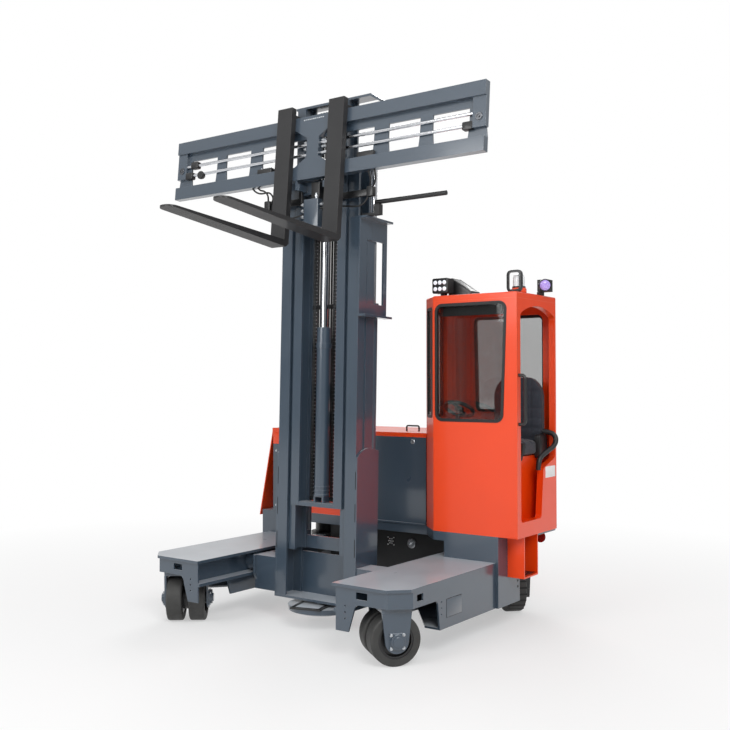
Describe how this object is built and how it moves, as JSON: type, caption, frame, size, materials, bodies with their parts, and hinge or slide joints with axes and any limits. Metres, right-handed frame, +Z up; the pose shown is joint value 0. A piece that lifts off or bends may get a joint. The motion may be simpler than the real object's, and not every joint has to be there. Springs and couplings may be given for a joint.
{
  "type": "multidirectional sit-on reach truck",
  "caption": "Sit-on multidirectional reach truck: a reaching triplex mast between two legs, a wide fork positioner carriage, a side cab and steered wheels all round.",
  "frame": {"origin": "on the floor, midway between the legs and midway from the fork tips to the rear skin", "axes": "+Z up, -Y the way the forks point, +X the side with the cab"},
  "size_m": [2.606, 2.5628, 3.5138],
  "materials": {
    "slate_paint": "semi-gloss slate grey enamel",
    "orange_paint": "glossy orange-red powder coat",
    "dark_paint": "satin black paint",
    "fork_steel": "satin black on forged steel",
    "chrome": "ground hard chrome",
    "steel": "machined steel",
    "tyre": "solid polyurethane and rubber tread",
    "rubber": "extruded window rubber",
    "glass": "safety glass",
    "seat_vinyl": "dark seat vinyl",
    "black_plastic": "moulded black plastic"
  },
  "bodies": {
    "chassis": {"battery": "dark_paint", "battery_tray": "dark_paint", "cab_entry": "orange_paint", "cab_floor": "orange_paint", "cab_front": "orange_paint", "cab_left": "orange_paint", "cab_rear": "orange_paint", "cab_roof": "orange_paint", "chassis_frame": "slate_paint", "console": "black_plastic", "end_cover": "orange_paint", "entry_step": "orange_paint", "grab_handle": "dark_paint", "leg_left": "slate_paint", "leg_right": "slate_paint", "overhead_console": "black_plastic", "roof_lamps": "black_plastic", "seat_back": "seat_vinyl", "seat_base": "orange_paint", "seat_cushion": "seat_vinyl", "service_panel_centre": "orange_paint", "service_panel_left": "slate_paint", "service_panel_right": "slate_paint", "steering_wheel": "black_plastic", "window_glass": "glass", "window_seals": "rubber"},
    "steer_load_right": {"load_yoke_right": "slate_paint"},
    "wheel_load_right": {"load_hub_right": "steel", "load_tyres_right": "tyre"},
    "steer_load_left": {"load_yoke_left": "slate_paint"},
    "wheel_load_left": {"load_hub_left": "steel", "load_tyres_left": "tyre"},
    "steer_drive_right": {"drive_unit_right": "dark_paint"},
    "wheel_drive_right": {"drive_rim_right": "steel", "drive_tyre_right": "tyre"},
    "steer_drive_left": {"drive_unit_left": "dark_paint"},
    "wheel_drive_left": {"drive_rim_left": "steel", "drive_tyre_left": "tyre"},
    "hood_lid": {"hood": "orange_paint", "hood_handle": "dark_paint"},
    "reach": {"reach_carriage": "slate_paint", "mast_outer_rails": "slate_paint", "mast_outer_ties": "slate_paint", "lift_barrels": "slate_paint", "mast_side_bracket": "slate_paint", "side_bar": "dark_paint", "mast_foot": "slate_paint"},
    "middle_mast": {"mast_middle_rails": "slate_paint", "mast_middle_ties": "slate_paint", "lift_rods": "chrome"},
    "inner_mast": {"mast_inner_rails": "slate_paint", "mast_inner_ties": "slate_paint", "free_lift_barrel": "slate_paint"},
    "free_lift": {"free_lift_rod": "chrome"},
    "carriage": {"carriage_base": "slate_paint"},
    "tilt_frame": {"fork_frame": "slate_paint", "positioner_rods": "chrome"},
    "left_fork": {"fork_left": "fork_steel"},
    "right_fork": {"fork_right": "fork_steel"}
  },
  "joints": [
    {"name": "steer_load_right", "type": "hinge", "parent": "chassis", "child": "steer_load_right", "pos_m": [0.835, -0.48356, 0.312], "axis": [0, 0, 1], "range_deg": [-60, 60]},
    {"name": "spin_load_right", "type": "hinge", "parent": "steer_load_right", "child": "wheel_load_right", "pos_m": [0.835, -0.48356, 0.15], "axis": [0.7877, -0.616, 0], "continuous": true},
    {"name": "steer_drive_right", "type": "hinge", "parent": "chassis", "child": "steer_drive_right", "pos_m": [0.83, 1.04144, 0.34], "axis": [0, 0, 1], "range_deg": [-60, 60]},
    {"name": "spin_drive_right", "type": "hinge", "parent": "steer_drive_right", "child": "wheel_drive_right", "pos_m": [0.83, 1.04144, 0.17], "axis": [0.6894, 0.7243, 0], "continuous": true},
    {"name": "steer_load_left", "type": "hinge", "parent": "chassis", "child": "steer_load_left", "pos_m": [-0.835, -0.48356, 0.312], "axis": [0, 0, 1], "range_deg": [-60, 60]},
    {"name": "spin_load_left", "type": "hinge", "parent": "steer_load_left", "child": "wheel_load_left", "pos_m": [-0.835, -0.48356, 0.15], "axis": [-0.7877, -0.616, 0], "continuous": true},
    {"name": "steer_drive_left", "type": "hinge", "parent": "chassis", "child": "steer_drive_left", "pos_m": [-0.83, 1.04144, 0.34], "axis": [0, 0, 1], "range_deg": [-60, 60]},
    {"name": "spin_drive_left", "type": "hinge", "parent": "steer_drive_left", "child": "wheel_drive_left", "pos_m": [-0.83, 1.04144, 0.17], "axis": [-0.6894, 0.7243, 0], "continuous": true},
    {"name": "hood_hinge", "type": "hinge", "parent": "chassis", "child": "hood_lid", "pos_m": [0, 1.28144, 1.23], "axis": [-1, 0, 0], "range_deg": [0, 75]},
    {"name": "mast_reach", "type": "slide", "parent": "chassis", "child": "reach", "axis": [0, -1, 0], "range_m": [-0.25, 0.5]},
    {"name": "middle_lift", "type": "slide", "parent": "reach", "child": "middle_mast", "axis": [0, 0.0262, 0.9997], "range_m": [-0.3, 1.1]},
    {"name": "inner_lift", "type": "slide", "parent": "middle_mast", "child": "inner_mast", "axis": [0, 0.0262, 0.9997], "range_m": [-0.3, 1.1]},
    {"name": "carriage_lift", "type": "slide", "parent": "inner_mast", "child": "carriage", "axis": [0, 0.0262, 0.9997], "range_m": [-1.85, 0]},
    {"name": "free_rod_lift", "type": "slide", "parent": "inner_mast", "child": "free_lift", "axis": [0, 0.0262, 0.9997], "range_m": [-0.925, 0]},
    {"name": "carriage_tilt", "type": "hinge", "parent": "carriage", "child": "tilt_frame", "pos_m": [0, -0.17287, 2.92188], "axis": [1, 0, 0], "range_deg": [-1, 7]},
    {"name": "fork_right_slide", "type": "slide", "parent": "tilt_frame", "child": "right_fork", "axis": [1, 0, 0], "range_m": [-0.07, 0.9]},
    {"name": "fork_left_slide", "type": "slide", "parent": "tilt_frame", "child": "left_fork", "axis": [-1, 0, 0], "range_m": [-0.07, 0.9]}
  ],
  "couplings": [
    {"joint": "inner_lift", "follows": "middle_lift", "ratio": 1},
    {"joint": "free_rod_lift", "follows": "carriage_lift", "ratio": 0.5}
  ]
}
